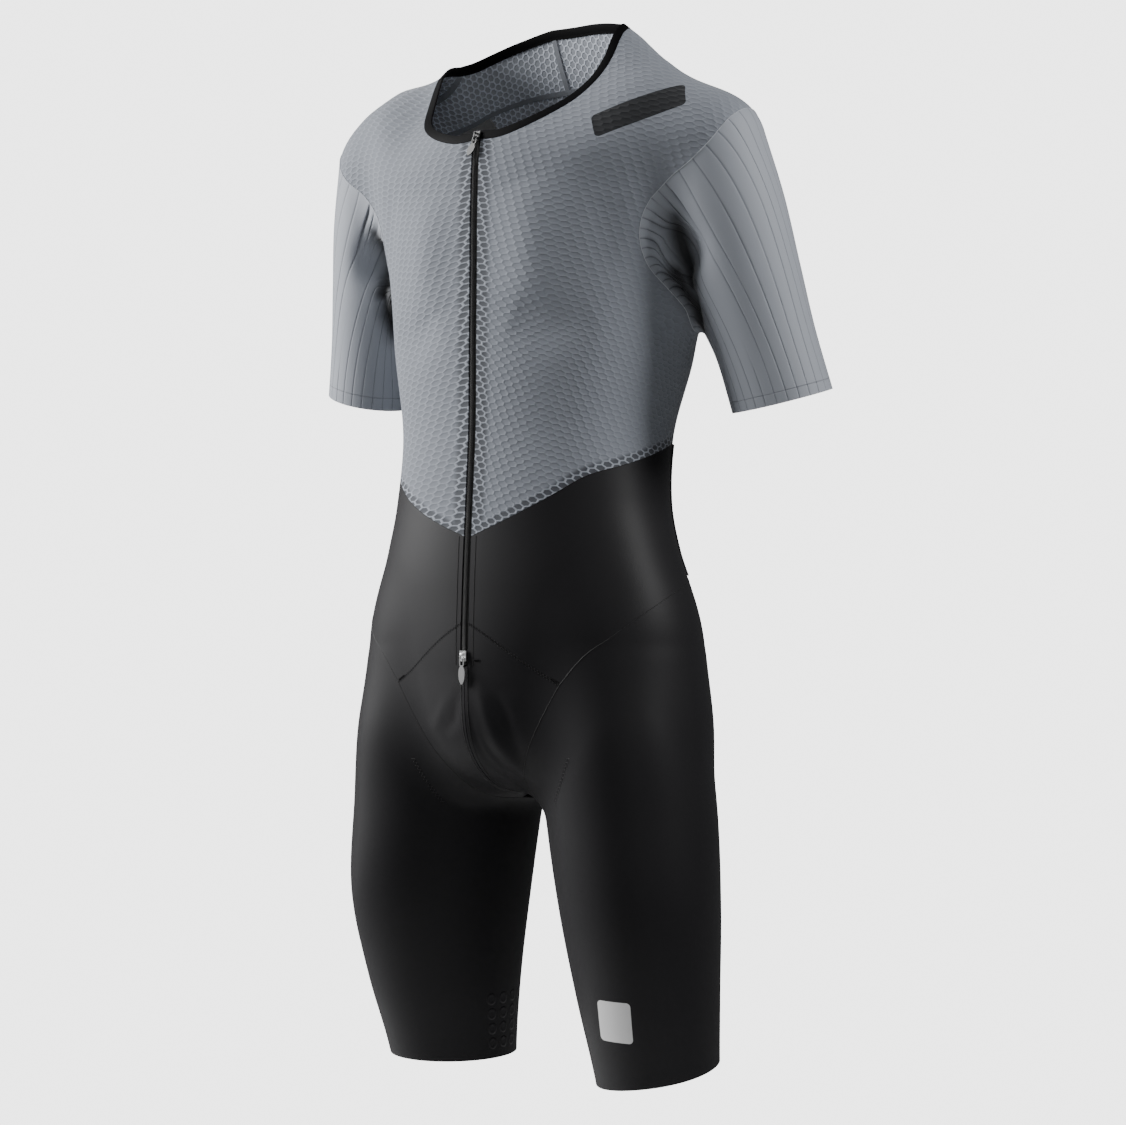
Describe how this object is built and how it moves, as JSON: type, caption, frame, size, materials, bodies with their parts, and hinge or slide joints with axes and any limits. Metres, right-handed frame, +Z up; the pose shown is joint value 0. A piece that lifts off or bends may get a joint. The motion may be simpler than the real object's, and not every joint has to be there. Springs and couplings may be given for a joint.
{
  "type": "cycling skinsuit",
  "caption": "Short-sleeved cycling skinsuit with mid-thigh legs in its worn shape, a full front zip with a slider at each end, and a pocket on the back.",
  "frame": {"origin": "midway between the high points of the shoulders beside the neck, where the suit hangs on its wearer", "axes": "+Z up, -Y the front of the suit, +X the wearer's left"},
  "size_m": [0.5605, 0.2352, 0.9744],
  "materials": {
    "grey_mesh": "matt raised net",
    "grey_rib": "matt ribbed weave",
    "black_lycra": "soft sheen stretch knit",
    "black_trim": "matt elastic",
    "grey_melange": "matt mixed grey knit",
    "zip_black": "satin",
    "silver": "polished"
  },
  "bodies": {
    "suit": {"back": "grey_mesh", "back_pocket": "black_lycra", "crotch_left": "black_lycra", "crotch_right": "black_lycra", "front_left": "grey_mesh", "front_right": "grey_mesh", "inner_pocket": "black_trim", "inner_pocket_band": "grey_melange", "leg_left": "black_lycra", "leg_right": "black_lycra", "neck_binding": "black_trim", "seat": "black_lycra", "sleeve_left": "grey_rib", "sleeve_right": "grey_rib", "slider_bottom": "silver", "slider_top": "silver", "waist_left": "black_lycra", "waist_right": "black_lycra", "yoke_left": "grey_mesh", "yoke_right": "grey_mesh", "zip_chain": "zip_black", "zip_tape_left": "zip_black", "zip_tape_right": "zip_black"},
    "top_pull": {"pull_top": "silver"},
    "bottom_pull": {"pull_bottom": "silver"}
  },
  "joints": [
    {"name": "top_pull_swing", "type": "hinge", "parent": "suit", "child": "top_pull", "pos_m": [0, -0.08323, -0.10426], "axis": [-1, 0, 0], "range_deg": [0, 150]},
    {"name": "bottom_pull_swing", "type": "hinge", "parent": "suit", "child": "bottom_pull", "pos_m": [0, -0.10257, -0.57121], "axis": [-1, 0, 0], "range_deg": [0, 150]}
  ]
}
